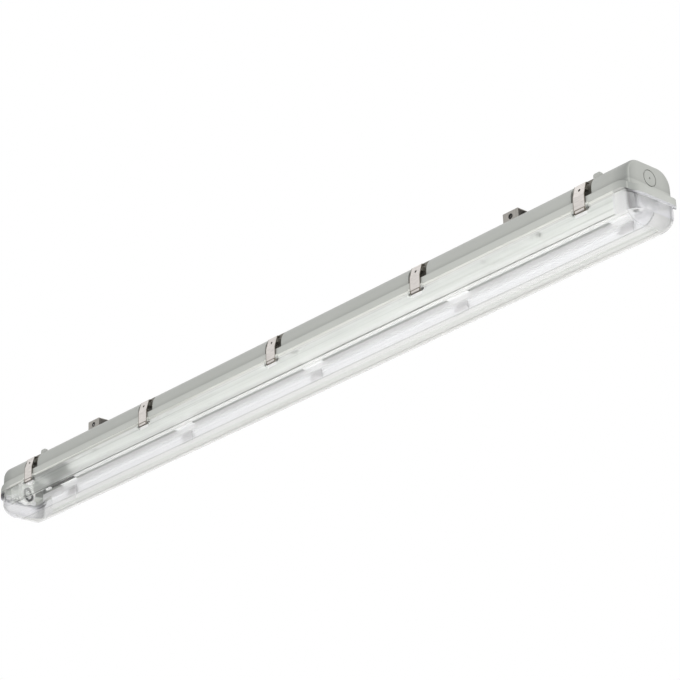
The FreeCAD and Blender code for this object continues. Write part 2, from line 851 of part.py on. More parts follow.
def make_clip(label, side, place_x):
    """Strip clip: a rolled eye on the pin, a straight back over the rim, and a hook on the catch.

    It is drawn on the YZ plane about the pin's axis, with local -Y outwards, and turned for the back.
    """
    made = body(label)
    thick = size("clip_thickness")
    bore = size("pin_radius") + size("pin_fit")
    eye = bore + thick
    knee = size("clip_knee") + size("pin_drop")
    top = size("clip_height") + size("pin_drop")
    lean = size("clip_lean")

    strip = body_sketch(made, label + "_strip", "YZ_Plane")
    draw(strip, [
        (-eye, zero),
        (-bore, zero),
        (-bore, knee),
        (-bore + lean, top - thick),
        (-bore + lean + size("clip_hook"), top - thick),
        (-bore + lean + size("clip_hook"), top),
        (-eye + lean, top),
        (-eye, knee + thick / 2),
    ])
    back = pad(made, label + "_back", strip, size("clip_width"), symmetric=True)

    roll = body_sketch(made, label + "_roll", "YZ_Plane")
    draw_circle(roll, zero, zero, eye)
    draw_circle(roll, zero, zero, bore)
    eye_pad = pad(made, label + "_eye", roll, size("clip_width"), symmetric=True)

    flange = body_sketch(made, label + "_flange", "YZ_Plane", size("clip_width") / 2 - thick)
    low = size("pin_drop") + size("rim_band") + thick
    draw(flange, [
        (-bore - thick / 2, low),
        (-bore, low),
        (-bore + size("clip_flange"), knee - size("clip_flange")),
        (-bore + size("clip_flange"), knee),
        (-bore - thick / 2, knee),
    ])
    flange_pad = pad(made, label + "_flange_right", flange, thick)
    other = body_sketch(made, label + "_flange_other", "YZ_Plane", -size("clip_width") / 2)
    draw(other, [
        (-bore - thick / 2, low),
        (-bore, low),
        (-bore + size("clip_flange"), knee - size("clip_flange")),
        (-bore + size("clip_flange"), knee),
        (-bore - thick / 2, knee),
    ])
    other_pad = pad(made, label + "_flange_left", other, thick)

    hole = body_sketch(made, label + "_hole", "XZ_Plane")
    draw_circle(hole, zero, (knee + top) / 2, size("clip_hole_radius"))
    pocket(made, label + "_pull_hole", hole, size("rim_width"), symmetric=True)

    turn = 0 if side < 0 else 180
    made.Placement = FreeCAD.Placement(V(0, 0, 0), FreeCAD.Rotation(V(0, 0, 1), turn))
    place(made, place_x, pin_reach * side, pin_height)
    return made


# Ceiling brackets and slide rails


def make_slide_rail(label, middle):
    """Thin strip screwed to the housing, its edges lifted so that the bracket's hooks pass under."""
    flat = size("rail_flat") / 2
    edge = size("rail_half_width")
    sheet_size = size("rail_sheet")
    lift = size("rail_joggle")
    ramp = flat + lift * 2
    low = housing_top
    section = [
        (-edge, low + lift), (-ramp, low + lift), (-flat, low), (flat, low),
        (ramp, low + lift), (edge, low + lift), (edge, low + lift + sheet_size),
        (ramp - sheet_size / 2, low + lift + sheet_size), (flat - sheet_size / 2, low + sheet_size),
        (-flat + sheet_size / 2, low + sheet_size), (-ramp + sheet_size / 2, low + lift + sheet_size),
        (-edge, low + lift + sheet_size),
    ]
    half = size("rail_length") / 2
    strip = extrusion(label + "_strip", "YZ_Plane", section, middle - half, middle + half)
    reach = half - size("rail_screw_inset")
    holes = [rod("%s_hole_%d" % (label, end + 1), "z", middle + reach * end, zero, low - overrun,
                 size("rail_screw_radius") + size("pin_fit"), overrun * 2) for end in (-1, 1)]
    return cut(label, strip, holes)


def make_rail_screws():
    """Four pan-head screws through the rails into the housing's blind bosses."""
    screws = []
    for number, (place_x, place_y) in enumerate(rail_screw_places()):
        seat = housing_top + size("rail_sheet")
        shank = rod("rail_shank_%d" % number, "z", place_x, place_y, seat - size("rail_screw_length"),
                    size("rail_screw_radius"), size("rail_screw_length"))
        head = rod("rail_head_%d" % number, "z", place_x, place_y, seat, size("rail_screw_head"),
                   size("rail_screw_head_height"))
        screws.append(fuse("rail_screw_%d" % number, [shank, head]))
    return group("rail_screws", screws)


def make_bracket(label, side):
    """U-shaped bracket: top plate on the ceiling plane, two legs, and hooks under the rail's edges."""
    made = body(label)
    sheet_size = size("bracket_sheet")
    inner = size("rail_half_width") + size("rail_side_gap")
    outer = inner + sheet_size
    foot = housing_top + size("rail_joggle") - size("rail_side_gap") - sheet_size
    hook = outer - size("rail_hook") - sheet_size
    section = body_sketch(made, label + "_section", "YZ_Plane")
    draw(section, [
        (-outer, foot), (-hook, foot), (-hook, foot + sheet_size), (-inner, foot + sheet_size),
        (-inner, -sheet_size), (inner, -sheet_size), (inner, foot + sheet_size),
        (hook, foot + sheet_size), (hook, foot), (outer, foot), (outer, zero), (-outer, zero),
    ])
    channel = pad(made, label + "_channel", section, size("bracket_width"), symmetric=True)
    top_hole = body_sketch(made, label + "_top_hole", "XY_Plane")
    draw_circle(top_hole, zero, zero, size("bracket_hole_radius"))
    pocket(made, label + "_bolt_hole", top_hole, sheet_size * 4, symmetric=True)
    leg_hole = body_sketch(made, label + "_leg_hole", "XZ_Plane")
    draw_circle(leg_hole, zero, -size("leg_hole_drop"), size("leg_hole_radius"))
    pocket(made, label + "_side_hole", leg_hole, size("rim_width"), symmetric=True)
    place(made, bracket_place * side, zero, zero)
    return made


# Gear tray and its latches


def make_gear_tray():
    """White steel tray: flat middle, two sloping wings with lips, slots, screw holes and a window."""
    flat = size("tray_flat") / 2
    edge = size("tray_width") / 2
    thick = size("tray_sheet")
    wing = tray_bottom - size("tray_wing_drop")
    lip = wing - size("tray_lip")
    made = body("gear_tray")
    section = body_sketch(made, "tray_section", "YZ_Plane")
    draw(section, [
        (-edge, lip), (-edge + thick, lip), (-edge + thick, wing), (-flat, tray_bottom),
        (flat, tray_bottom), (edge - thick, wing), (edge - thick, lip), (edge, lip),
        (edge, wing + thick), (flat, tray_top), (-flat, tray_top), (-edge, wing + thick),
    ])
    tray_half = cavity_half_length - size("tray_end_gap")
    pad(made, "tray_sheet_metal", section, tray_half * 2, symmetric=True)

    wing_half = cavity_half_length - size("wing_end_gap")
    trims = body_sketch(made, "tray_trims", "XY_Plane", tray_top + overrun)
    foot = size("holder_foot_width") / 2
    for side_x in (-1, 1):
        for side_y in (-1, 1):
            x_pair = sorted([wing_half * side_x, (tray_half + overrun) * side_x], key=lambda item: item.value)
            y_pair = sorted([flat * side_y, (edge + overrun) * side_y], key=lambda item: item.value)
            draw(trims, rectangle(x_pair[0], x_pair[1], y_pair[0], y_pair[1]))
        foot_low = holder_face + size("holder_foot_inset") - size("latch_gap")
        foot_high = holder_face + size("holder_thickness") - size("holder_foot_inset") + size("latch_gap")
        x_pair = sorted([foot_low * side_x, foot_high * side_x], key=lambda item: item.value)
        draw(trims, rectangle(x_pair[0], x_pair[1], -foot, foot))
    for place_x in latch_places:
        half_slot = size("latch_wing_length") / 2 + size("latch_slot_margin")
        half_wide = size("latch_wing_width") / 2 + size("latch_slot_margin")
        draw(trims, rectangle(place_x - half_slot, place_x + half_slot, -half_wide, half_wide))
    window_low = -cavity_half_length + size("window_start")
    draw(trims, rectangle(window_low, window_low + size("window_length"),
                          -size("window_front"), size("window_back")))
    for place_x in ballast_screw_places():
        draw_circle(trims, place_x, zero, size("screw_radius") + size("pin_fit"))
    draw_circle(trims, earth_place()[0], earth_place()[1], size("screw_radius") + size("pin_fit"))
    pocket(made, "tray_openings", trims, size("tray_wing_drop") * 2 + size("tray_lip") * 2 + overrun)
    return made


def ballast_screw_places():
    """Where the two ballast screws stand along the light."""
    start = ballast_start + size("ballast_foot") / 2
    end = ballast_start + size("ballast_length") - size("ballast_foot") / 2
    return [start, end]


def earth_place():
    """Centre of the earth screw on the tray, on the earth button's lane."""
    name, middle_x, middle_y = button_places()[2]
    return block_span()[1] + size("earth_reach"), middle_y


def make_latch(label, place_x):
    """Quarter-turn button: a stem in the housing's boss and a wing across the tray's slot."""
    wing_top = tray_bottom - size("latch_gap")
    made = body(label)
    wing = body_sketch(made, label + "_wing", "XY_Plane")
    half_long = size("latch_wing_length") / 2
    half_wide = size("latch_wing_width") / 2
    draw(wing, [
        (-half_wide, -half_long + half_wide, half_wide, 1),
        (zero, -half_long, half_wide, 1),
        (half_wide, -half_long + half_wide),
        (half_wide, half_long - half_wide, half_wide, 1),
        (zero, half_long, half_wide, 1),
        (-half_wide, half_long - half_wide),
    ])
    pad(made, label + "_wing_pad", wing, size("latch_wing_height"), backwards=True)
    stem = body_sketch(made, label + "_stem", "XY_Plane")
    draw_circle(stem, zero, zero, size("latch_stem_radius"))
    stem_length = tray_top - wing_top + size("latch_stem_length") - size("latch_gap")
    pad(made, label + "_stem_pad", stem, stem_length)
    slot = body_sketch(made, label + "_slot", "XY_Plane", -size("latch_wing_height"))
    quarter = size("latch_stem_radius") / 4
    draw(slot, rectangle(-size("latch_stem_radius"), size("latch_stem_radius"), -quarter, quarter))
    pocket(made, label + "_driver_slot", slot, size("latch_wing_height") / 3, backwards=True)
    place(made, place_x, zero, wing_top)
    return made


# Lampholders, rotors and contacts


def make_lampholder(label, side):
    """Two-pin holder: a tombstone body with a foot in the tray, a rotor seat and a pin slot."""
    made = body(label)
    half = size("holder_width") / 2
    drop = lamp_height - tray_bottom
    front = body_sketch(made, label + "_front", "YZ_Plane")
    top = -drop
    foot = size("holder_foot_width") / 2 - size("latch_gap")
    draw(front, [
        (-half, zero, half, 1),
        (zero, -half, half, 1),
        (half, zero),
        (half, top),
        (-half, top),
    ])
    block_pad = pad(made, label + "_block", front, size("holder_thickness"))
    foot_sketch = body_sketch(made, label + "_foot", "YZ_Plane", size("holder_foot_inset"))
    draw(foot_sketch, rectangle(-foot, foot, top - size("holder_foot_height"),
                                top + size("tray_sheet") + size("holder_foot_height")))
    pad(made, label + "_foot_pad", foot_sketch, size("holder_thickness") - size("holder_foot_inset") * 2)

    seat = body_sketch(made, label + "_seat", "YZ_Plane")
    draw_circle(seat, zero, zero, size("rotor_radius") + size("rotor_gap"))
    pocket(made, label + "_rotor_seat", seat, size("rotor_thickness") + size("rotor_gap"), backwards=True)
    hub = body_sketch(made, label + "_hub", "YZ_Plane")
    draw_circle(hub, zero, zero, size("rotor_hub_radius") + size("rotor_fit"))
    pocket(made, label + "_hub_bore", hub,
           size("rotor_thickness") + size("rotor_hub_length") + size("rotor_gap") * 2, backwards=True)
    slot = body_sketch(made, label + "_slot", "YZ_Plane")
    slot_half = size("rotor_slot") / 2
    draw(slot, rectangle(-slot_half, slot_half, -half - overrun, -size("rotor_hub_radius")))
    slot_depth = size("rotor_thickness") + size("rotor_hub_length")
    pocket(made, label + "_pin_slot", slot, slot_depth, backwards=True)
    cells = body_sketch(made, label + "_cells", "YZ_Plane")
    for end in (-1, 1):
        middle = size("pin_pitch") / 2 * end
        half_cell = size("contact_width") / 2 + size("contact_gap") / 2
        draw(cells, rectangle(middle - half_cell, middle + half_cell,
                              -size("contact_height") / 2 - size("contact_gap") / 2,
                              size("contact_height") / 2 + size("contact_gap") / 2))
    pocket(made, label + "_contact_cells", cells,
           size("rotor_thickness") + size("rotor_gap") + size("contact_thickness") * 2 + size("contact_gap"),
           backwards=True)
    if side > 0:
        place(made, holder_face, zero, lamp_height)
    else:
        made.Placement = FreeCAD.Placement(V(0, 0, 0), FreeCAD.Rotation(V(0, 0, 1), 180))
        place(made, -holder_face, zero, lamp_height)
    return made


def make_rotor(label, side):
    """Turning ring of a lampholder: a disc with a hub, a pin slot and a ring groove."""
    made = body(label)
    face = body_sketch(made, label + "_face", "YZ_Plane")
    draw_circle(face, zero, zero, size("rotor_radius"))
    pad(made, label + "_disc", face, size("rotor_thickness"))
    hub = body_sketch(made, label + "_hub", "YZ_Plane")
    draw_circle(hub, zero, zero, size("rotor_hub_radius"))
    pad(made, label + "_hub_pad", hub, size("rotor_thickness") + size("rotor_hub_length"))
    slot = body_sketch(made, label + "_slot", "YZ_Plane")
    half = size("rotor_slot") / 2
    tall = size("rotor_radius") + overrun
    draw(slot, rectangle(-half, half, -tall, tall))
    pocket(made, label + "_pin_slot", slot, size("rotor_thickness") * 2 / 3, backwards=True)
    ring_groove = body_sketch(made, label + "_groove", "YZ_Plane")
    draw_circle(ring_groove, zero, zero, size("rotor_groove_radius") + half / 2)
    draw_circle(ring_groove, zero, zero, size("rotor_groove_radius") - half / 2)
    pocket(made, label + "_ring_groove", ring_groove, size("rotor_thickness") / 4, backwards=True)
    if side > 0:
        place(made, holder_face, zero, lamp_height)
    else:
        made.Placement = FreeCAD.Placement(V(0, 0, 0), FreeCAD.Rotation(V(0, 0, 1), 180))
        place(made, -holder_face, zero, lamp_height)
    return made


def make_contacts(label, side):
    """Two brass contact springs in the cells behind the rotor."""
    plates = []
    depth = size("rotor_thickness") + size("rotor_gap") + size("contact_gap")
    for end in (-1, 1):
        middle = size("pin_pitch") / 2 * end
        near = (holder_face + depth) * side
        far = (holder_face + depth + size("contact_thickness") * 2) * side
        pair = (near, far) if side > 0 else (far, near)
        plates.append(block("%s_%d" % (label, end + 1), pair[0], pair[1],
                            middle - size("contact_width") / 2, middle + size("contact_width") / 2,
                            lamp_height - size("contact_height") / 2,
                            lamp_height + size("contact_height") / 2))
    return group(label, plates)


# Ballast and its screws


def make_ballast():
    """Control gear on the tray: a case with rounded long edges and a foot at each end."""
    made = body("ballast")
    half = size("ballast_width") / 2
    radius = size("ballast_edge_radius")
    high = tray_top + size("ballast_height")
    foot = size("ballast_foot")
    start = ballast_start
    end = start + size("ballast_length")
    case = body_sketch(made, "ballast_section", "YZ_Plane", start + foot)
    draw(case, [
        (-half, tray_top), (half, tray_top), (half, high - radius, radius, 1),
        (half - radius, high), (-half + radius, high, radius, 1), (-half, high - radius),
    ])
    pad(made, "ballast_case", case, size("ballast_length") - foot * 2)
    feet = body_sketch(made, "ballast_feet", "XY_Plane", tray_top)
    draw(feet, rectangle(start, end, -half, half))
    pad(made, "ballast_base", feet, size("ballast_foot_height"))
    holes = body_sketch(made, "ballast_holes", "XY_Plane", tray_top + overrun)
    for place_x in ballast_screw_places():
        draw_circle(holes, place_x, zero, size("screw_radius") + size("pin_fit"))
    pocket(made, "ballast_screw_holes", holes, overrun * 2)
    return made


def make_screw(label, place_x, place_y):
    """Pan-head screw that comes up through the tray from below."""
    head = rod(label + "_head", "z", place_x, place_y, tray_bottom - size("screw_head_height"),
               size("screw_head_radius"), size("screw_head_height"))
    shank = rod(label + "_shank", "z", place_x, place_y, tray_bottom - size("screw_head_height"),
                size("screw_radius"), size("screw_head_height") + size("screw_length"))
    return fuse(label, [head, shank])


# Terminal block


def block_span():
    """Low and high X, low and high Y, and the bottom of the terminal block."""
    low_x = -cavity_half_length + size("block_start")
    high_y = size("block_side")
    low_y = high_y - size("block_width")
    return low_x, low_x + size("block_length"), low_y, high_y, cavity_top - size("block_height")


def button_places():
    """Centres of the three push buttons, each with the name of its pole."""
    low_x, high_x, low_y, high_y, bottom = block_span()
    pitch = size("block_width") / 3
    middle_x = (low_x + high_x) / 2
    return [(name, middle_x, low_y + pitch * (order + 0.5))
            for order, name in enumerate(("live", "neutral", "earth"))]


def make_terminal_block():
    """Three-pole block under the housing's roof, with button wells below and wire holes at both ends."""
    low_x, high_x, low_y, high_y, bottom = block_span()
    case = block("terminal_case", low_x, high_x, low_y, high_y, bottom, cavity_top)
    tools = []
    gap = size("button_gap")
    for name, middle_x, middle_y in button_places():
        half_long = size("button_length") / 2 + gap
        half_wide = size("button_width") / 2 + gap
        depth = size("button_height") - size("button_stand") + size("button_travel") + gap
        tools.append(block("well_" + name, middle_x - half_long, middle_x + half_long,
                           middle_y - half_wide, middle_y + half_wide, bottom - overrun, bottom + depth))
    for number, place_y in enumerate(supply_lanes()):
        tools.append(rod("wire_hole_right_%d" % number, "x", high_x - size("lead_bend"), place_y,
                         parting + size("supply_height"), size("wire_hole_radius"),
                         size("lead_bend") + overrun))
        tools.append(rod("wire_hole_left_%d" % number, "x", low_x - overrun, place_y,
                         parting + size("supply_height"), size("wire_hole_radius"),
                         size("lead_bend") + overrun))
    return cut("terminal_block", case, tools)


def make_push_button(label, middle_x, middle_y):
    """Push button of one pole, standing proud of the block's underside."""
    bottom = block_span()[4]
    half_long = size("button_length") / 2
    half_wide = size("button_width") / 2
    low = bottom - size("button_stand")
    return block(label, middle_x - half_long, middle_x + half_long, middle_y - half_wide,
                 middle_y + half_wide, low, low + size("button_height"))


# Leads


def supply_lanes():
    """Y places of the live, neutral and earth leads at the terminal block."""
    return [place_y for name, place_x, place_y in button_places()]


def straight_lead(label, start_x, end_x, place_y, height):
    """A lead that runs straight along the light."""
    return rod(label, "x", start_x, place_y, height, size("lead_radius"), end_x - start_x)


def bent_lead(label, start_x, end_x, place_y, height, end_height):
    """A lead that runs along the light and then turns down, with one round bend."""
    toward = 1 if end_x.value > start_x.value else -1
    bend = size("lead_bend")
    start = V(start_x.value, height.value, 0)
    before = V(end_x.value - toward * bend.value, height.value, 0)
    after = V(end_x.value, height.value - bend.value, 0)
    finish = V(end_x.value, end_height.value, 0)
    path = doc.addObject("Sketcher::SketchObject", label + "_path")
    run = path.addGeometry(Part.LineSegment(start, before))
    arc = path.addGeometry(Part.Arc(before, arc_middle(before, after, bend.value, -toward), after))
    down = path.addGeometry(Part.LineSegment(after, finish))
    first = 1 if (path.getPoint(arc, 1) - before).Length < (path.getPoint(arc, 2) - before).Length else 2
    path.addConstraint(Sketcher.Constraint("Tangent", run, 2, arc, first))
    path.addConstraint(Sketcher.Constraint("Tangent", arc, 3 - first, down, 1))
    path.addConstraint(Sketcher.Constraint("Horizontal", run))
    path.addConstraint(Sketcher.Constraint("Vertical", down))
    for kind, edge, point, length in (("DistanceX", run, 1, start_x), ("DistanceY", run, 1, height),
                                      ("DistanceX", down, 2, end_x), ("DistanceY", down, 2, end_height)):
        number = path.addConstraint(Sketcher.Constraint(kind, edge, point, length.value))
        path.setExpression("Constraints[%d]" % number, length.text)
    number = path.addConstraint(Sketcher.Constraint("Radius", arc, bend.value))
    path.setExpression("Constraints[%d]" % number, bend.text)
    path.Placement = FreeCAD.Placement(V(0, 0, 0), PLANE_TURNS["XZ_Plane"])
    bind(path, "Placement.Base.y", place_y)
    profile = doc.addObject("Part::Circle", label + "_profile")
    bind(profile, "Radius", size("lead_radius"))
    profile.Placement = FreeCAD.Placement(V(0, 0, 0), AXIS_TURNS["x"])
    place(profile, start_x, place_y, height)
    lead = doc.addObject("Part::Sweep", label)
    lead.Sections = [profile]
    lead.Spine = (path, ["Edge1", "Edge2", "Edge3"])
    lead.Solid = True
    lead.Frenet = False
    return lead


def make_supply_leads():
    """Live and neutral leads from the terminal block to the ballast."""
    start = block_span()[1] - size("lead_bend")
    end = ballast_start + size("ballast_foot")
    height = parting + size("supply_height")
    lanes = supply_lanes()
    return group("supply_leads", [straight_lead("live_lead", start, end, lanes[0], height),
                                  straight_lead("neutral_lead", start, end, lanes[1], height)])


def make_lamp_leads(label, side):
    """Two stacked leads from the ballast to one lampholder's foot; the upper one reaches further."""
    start = ballast_start + size("ballast_foot")
    if side > 0:
        start = ballast_start + size("ballast_length") - size("ballast_foot")
    foot_top = tray_top + size("holder_foot_height")
    leads = []
    for level in (0, 1):
        height = parting + size("lead_height") + size("lead_pitch") * level
        end = holder_face + size("holder_thickness") / 2 + size("lead_pitch") * (level - 0.5)
        leads.append(bent_lead("%s_%d" % (label, level + 1), start, end * side, size("lead_side"),
                               height, foot_top))
    return group(label, leads)


def make_earth_lead():
    """Lead from the terminal block's earth pole down to the earth screw."""
    end_x, place_y = earth_place()
    return bent_lead("earth_lead", block_span()[1] - size("lead_bend"), end_x, place_y,
                     parting + size("supply_height"), tray_bottom + size("screw_length"))


# Cable grommet


def make_grommet():
    """Rubber entry in the left end wall: a flange outside, a neck and a lip inside, bored through."""
    outside = -body_half_length
    inside = outside + size("housing_wall")
    lip = inside + size("grommet_lip_gap")
    flange = rod("grommet_flange_disc", "x", outside - size("grommet_flange"), zero, knockout_height,
                 size("grommet_flange_radius"), size("grommet_flange"))
    neck = rod("grommet_neck", "x", outside, zero, knockout_height, size("grommet_neck_radius"),
               lip - outside)
    lip_disc = rod("grommet_lip", "x", lip, zero, knockout_height, size("grommet_lip_radius"),
                   size("grommet_flange"))
    bore = rod("grommet_bore", "x", outside - size("grommet_flange") - overrun, zero, knockout_height,
               size("grommet_hole_radius"), lip - outside + size("grommet_flange") * 2 + overrun * 2)
    return cut("cable_grommet", fuse("grommet_solid", [flange, neck, lip_disc]), [bore])


# Build, check and write


def make_parts():
    """Every sub-part of the light."""
    middle = bracket_place
    parts = [make_housing(), make_gasket(), make_cover(), make_clip_pins()]
    for side, name in ((-1, "front"), (1, "back")):
        for number, place_x in enumerate(clip_places, start=1):
            parts.append(make_clip("clip_%s_%d" % (name, number), side, place_x))
    for side, name in ((-1, "left"), (1, "right")):
        parts.append(make_slide_rail("slide_rail_" + name, middle * side))
        parts.append(make_bracket("bracket_" + name, side))
        parts.append(make_lampholder("lampholder_" + name, side))
        parts.append(make_rotor("rotor_" + name, side))
        parts.append(make_contacts("lamp_contacts_" + name, side))
        parts.append(make_lamp_leads("lamp_leads_" + name, side))
    for place_x, name in zip(latch_places, ("left", "middle", "right")):
        parts.append(make_latch("tray_latch_" + name, place_x))
    for name, middle_x, middle_y in button_places():
        parts.append(make_push_button("push_button_" + name, middle_x, middle_y))
    ballast_screws = [make_screw("ballast_screw_%d" % number, place_x, zero)
                      for number, place_x in enumerate(ballast_screw_places())]
    earth_x, earth_y = earth_place()
    parts.extend([
        make_rail_screws(), make_gear_tray(), make_ballast(), group("ballast_screws", ballast_screws),
        make_terminal_block(), make_supply_leads(), make_earth_lead(),
        make_screw("earth_screw", earth_x, earth_y), make_grommet(),
    ])
    return parts


parts = make_parts()
doc.recompute()

for thing in doc.Objects:
    for state in thing.State:
        if "Invalid" in state or "Error" in state:
            raise RuntimeError("%s is %s" % (thing.Label, state))

os.makedirs("parts", exist_ok=True)
for part in parts:
    if part.Shape.isNull() or not part.Shape.isValid():
        raise RuntimeError("%s has no valid shape" % part.Label)
    part.Shape.exportStep("parts/%s.step" % part.Label)
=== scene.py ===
import json
from functools import reduce

import bpy
from mathutils import Matrix, Vector

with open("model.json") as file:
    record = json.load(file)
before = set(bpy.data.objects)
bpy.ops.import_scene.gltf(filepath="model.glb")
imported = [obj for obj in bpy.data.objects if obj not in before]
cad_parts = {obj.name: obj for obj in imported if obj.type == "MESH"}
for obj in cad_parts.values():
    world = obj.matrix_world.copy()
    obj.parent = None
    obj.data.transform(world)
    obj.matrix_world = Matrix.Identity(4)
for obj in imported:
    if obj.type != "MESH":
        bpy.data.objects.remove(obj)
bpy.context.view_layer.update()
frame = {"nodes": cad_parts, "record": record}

# Places that the materials mark, in metres in the light's own frame. A half is a distance from the
# middle line, an end or a start lies along the light, and a top, foot or height is a height.

PARTING = -0.0636
RIM_TOP = PARTING + 0.0108
DIP_START = 0.7485
DIP_END = 0.7885
DIP_DROP = 0.014

BODY_END = 0.7698
END_SKIN = 0.0007
# Where painted shade darkens the shell's sides towards the upright corners of the ends
FLANK_START = 0.70
FLANK_END = BODY_END + 0.001
# Where painted shade darkens the shell's end faces towards their sides
FACE_HALF = 0.026
FACE_EDGE = 0.0455
# Heights of the painted highlight on the shell's rim and of the painted shade line just above it
RIM_TONE_FOOT = RIM_TOP - 0.002
RIM_TONE_TOP = RIM_TOP + 0.012
# Where painted shade darkens the inside of the shell's body
INSIDE_HALF = 0.03
INSIDE_END = 0.766
INSIDE_TOP = -0.0196
# Where painted shade darkens the clip pockets in the shell
POCKET_HALF = 0.0425
POCKET_REACH = 0.0178
POCKET_TOP = -0.022
POCKET_FOOT = RIM_TOP - 0.0005
LEDGE_HALF = 0.0455
LEDGE_TOP = RIM_TOP - 0.0015
DIPPED_HALF = 0.033
DIPPED_END = 0.779

RIB_FOOT = PARTING - 0.0366
RIB_START = -0.668
RIB_END = 0.7425
RIB_FADE = 0.004
RUNG_PITCH = 0.0062
RUNG_EDGE = 0.00124
COVER_HALF = 0.0445
COVER_END = 0.784
# Where the painted shade on the cover towards its ends begins
CORNER_SHADE_START = 0.74
HEEL_START = 0.745
FROST_END = 0.765
MILK_START = -0.66
MILK_END = -0.5
LINING_HALF = 0.0474
LINING_FOOT = PARTING - 0.025
FLANGE_FOOT = PARTING - 0.0048

CLIP_PITCH = 0.34
# Where painted shade runs along the clips' edges and round their rolled feet
CLIP_EDGE = 0.0104
CLIP_FOOT_EDGE = 0.0088
CLIP_FOOT_START = -0.0684
CLIP_FOOT_TOP = -0.07
CLIP_FOOT_BOTTOM = -0.0735
CLIP_FOOT_HALF = 0.0492
# Where painted shade darkens the outer ends of the clip pins
PIN_END = 0.0122
PIN_HALF = 0.0478

BRACKET_PLACE = 0.52
HOLE_HEIGHT = -0.0085
# Where painted shade rims the hole in each bracket leg and dims the legs' inner sides
HOLE_RIM = 0.0044
LEG_TOP = -0.0022
LEG_HALF = 0.0226
TOP_HALF = 0.01

ROTOR_HEIGHT = -0.0721
RING_INNER = 0.0047
RING_OUTER = 0.0092

# Where painted shade darkens the tray round its service window
WINDOW_START = -0.722
WINDOW_END = -0.65

# Noise scales, and the two noise values between which a tone runs

CLOUDS = 9.0
ENAMEL_CLOUDS = 5.0
STREAKS = 60.0
FINE_LINES = 230.0
NOISE_LOW = 0.35
NOISE_HIGH = 0.65

# Raised grain: noise scale, strength and depth in metres

SATIN = (1400.0, 0.06, 0.0002)
ORANGE_PEEL = (260.0, 0.05, 0.0003)
WAVES = (18.0, 0.05, 0.002)

# Rolled metal: how its streaks scale its tone and its roughness, and their relief

STREAK_DARK = 0.86
STREAK_PALE = 1.1
STREAK_SHINY = 0.75
STREAK_DULL = 1.3
STREAK_RELIEF = (0.12, 0.0002)

# The cover's roughness, how far its milky veil hides what lies behind each part, the share of the
# veil that lets light through, and the tint of the light that passes its walls

CLEAR_ROUGHNESS = 0.03
RIBBED_ROUGHNESS = 0.28
VEIL = {"bare": 0.04, "flange": 0.8, "rungs": 0.3, "lining": 0.45, "frost": 0.35, "milk": 0.25}
VEIL_THROUGH = 0.4
PASSING_LIGHT = (0.94, 0.945, 0.95)

WHITE = (1, 1, 1)

# A Mix node's colour sockets share their names with its number sockets, so these go by place

MIX_OFF = 6
MIX_ON = 7
MIX_RESULT = 2

# Materials


def scaled(color, factor):
    """A colour times a factor, kept within one."""
    return tuple(min(1.0, part * factor) for part in color)


